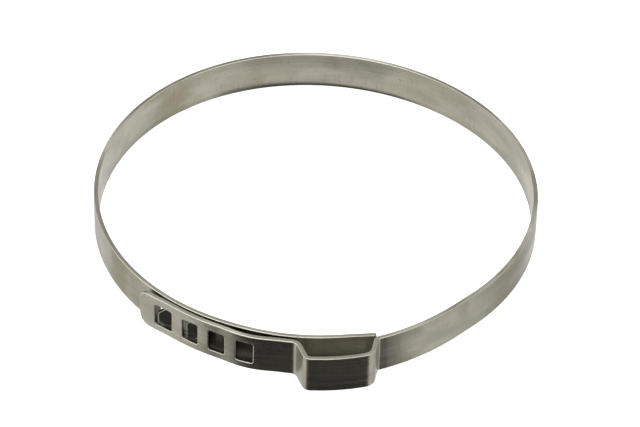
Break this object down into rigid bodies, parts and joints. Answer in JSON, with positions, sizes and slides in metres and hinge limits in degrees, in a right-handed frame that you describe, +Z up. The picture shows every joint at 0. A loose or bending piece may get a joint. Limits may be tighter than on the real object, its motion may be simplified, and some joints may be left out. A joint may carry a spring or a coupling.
{
  "type": "hose clamp",
  "caption": "Ring clamp of one steel strip that hooks into its own windowed tongue and is tightened on a hose by pinching its raised ear.",
  "frame": {"origin": "on the plane the lower edge stands on, at the middle of the clamp's outline with its ear, so the ring's own centre is 2.6 mm towards +Y", "axes": "+Z along the ring's axis, across the strip's width; -Y from the ring's centre to the ear; +X to the right, seen from the ear side with +Z up"},
  "size_m": [0.0764, 0.0817, 0.007],
  "materials": {
    "strip_steel": "mill-rolled strip, satin with fine lengthwise lines"
  },
  "bodies": {
    "band_front": {"ear_right_foot": "strip_steel", "tail_ramp": "strip_steel", "band_front_right": "strip_steel"},
    "ear_right_leg": {"ear_right_leg": "strip_steel"},
    "ear_crown": {"ear_crown": "strip_steel"},
    "ear_left_leg": {"ear_left_leg": "strip_steel"},
    "ear_left_foot": {"ear_left_foot": "strip_steel"},
    "window_tongue": {"window_tongue": "strip_steel"},
    "band_right": {"band_right": "strip_steel"},
    "band_back": {"band_back": "strip_steel"},
    "band_left": {"band_left": "strip_steel"},
    "band_front_left": {"band_front_left": "strip_steel"},
    "under_tongue": {"under_tongue_strip": "strip_steel", "tension_hook": "strip_steel", "retaining_hook": "strip_steel"},
    "ear_bridge_tail": {"ear_bridge_tail": "strip_steel"}
  },
  "joints": [
    {"name": "ear_crimp", "type": "hinge", "parent": "band_front", "child": "ear_right_leg", "pos_m": [0.00707, -0.03653, 0.0035], "axis": [0, 0, 1], "range_deg": [0, 60]},
    {"name": "ear_right_shoulder_bend", "type": "hinge", "parent": "ear_right_leg", "child": "ear_crown", "pos_m": [0.00516, -0.03925, 0.0035], "axis": [0, 0, 1], "range_deg": [-57.6, 0]},
    {"name": "ear_left_shoulder_bend", "type": "hinge", "parent": "ear_crown", "child": "ear_left_leg", "pos_m": [-0.00489, -0.03968, 0.0035], "axis": [0, 0, 1], "range_deg": [-54.2, 0]},
    {"name": "ear_left_foot_bend", "type": "hinge", "parent": "ear_left_leg", "child": "ear_left_foot", "pos_m": [-0.00686, -0.03658, 0.0035], "axis": [0, 0, 1], "range_deg": [0, 57.9]},
    {"name": "tongue_lift", "type": "hinge", "parent": "ear_left_foot", "child": "window_tongue", "pos_m": [-0.0081, -0.03613, 0.0035], "axis": [0, 0, 1], "range_deg": [0, 15], "stiffness_Nm_per_rad": 0.6},
    {"name": "flex_band_right", "type": "hinge", "parent": "band_front", "child": "band_right", "pos_m": [0.03802, 0.0026, 0.0035], "axis": [0, 0, 1], "range_deg": [0, 1.7]},
    {"name": "flex_band_back", "type": "hinge", "parent": "band_right", "child": "band_back", "pos_m": [0.01879, 0.03515, 0.0035], "axis": [0, 0, 1], "range_deg": [0, 1.7]},
    {"name": "flex_band_left", "type": "hinge", "parent": "band_back", "child": "band_left", "pos_m": [-0.01901, 0.03553, 0.0035], "axis": [0, 0, 1], "range_deg": [0, 1.7]},
    {"name": "flex_band_front_left", "type": "hinge", "parent": "band_left", "child": "band_front_left", "pos_m": [-0.03758, 0.0026, 0.0035], "axis": [0, 0, 1], "range_deg": [0, 1.7]},
    {"name": "latch_swing", "type": "hinge", "parent": "band_front_left", "child": "under_tongue", "pos_m": [-0.03318, -0.01504, 0.0035], "axis": [0, 0, 1], "range_deg": [0, 8], "stiffness_Nm_per_rad": 0.6},
    {"name": "tail_tuck", "type": "hinge", "parent": "under_tongue", "child": "ear_bridge_tail", "pos_m": [-0.00132, -0.03523, 0.0035], "axis": [0, 0, 1], "range_deg": [0, 11]}
  ],
  "couplings": [
    {"joint": "ear_right_shoulder_bend", "follows": "ear_crimp", "ratio": -0.95},
    {"joint": "ear_left_shoulder_bend", "follows": "ear_crimp", "ratio": -0.894},
    {"joint": "ear_left_foot_bend", "follows": "ear_crimp", "ratio": 0.955},
    {"joint": "flex_band_right", "follows": "ear_crimp", "ratio": 0.02785},
    {"joint": "flex_band_back", "follows": "ear_crimp", "ratio": 0.02785},
    {"joint": "flex_band_left", "follows": "ear_crimp", "ratio": 0.02785},
    {"joint": "flex_band_front_left", "follows": "ear_crimp", "ratio": 0.02785},
    {"joint": "tail_tuck", "follows": "ear_crimp", "ratio": 0.17}
  ]
}
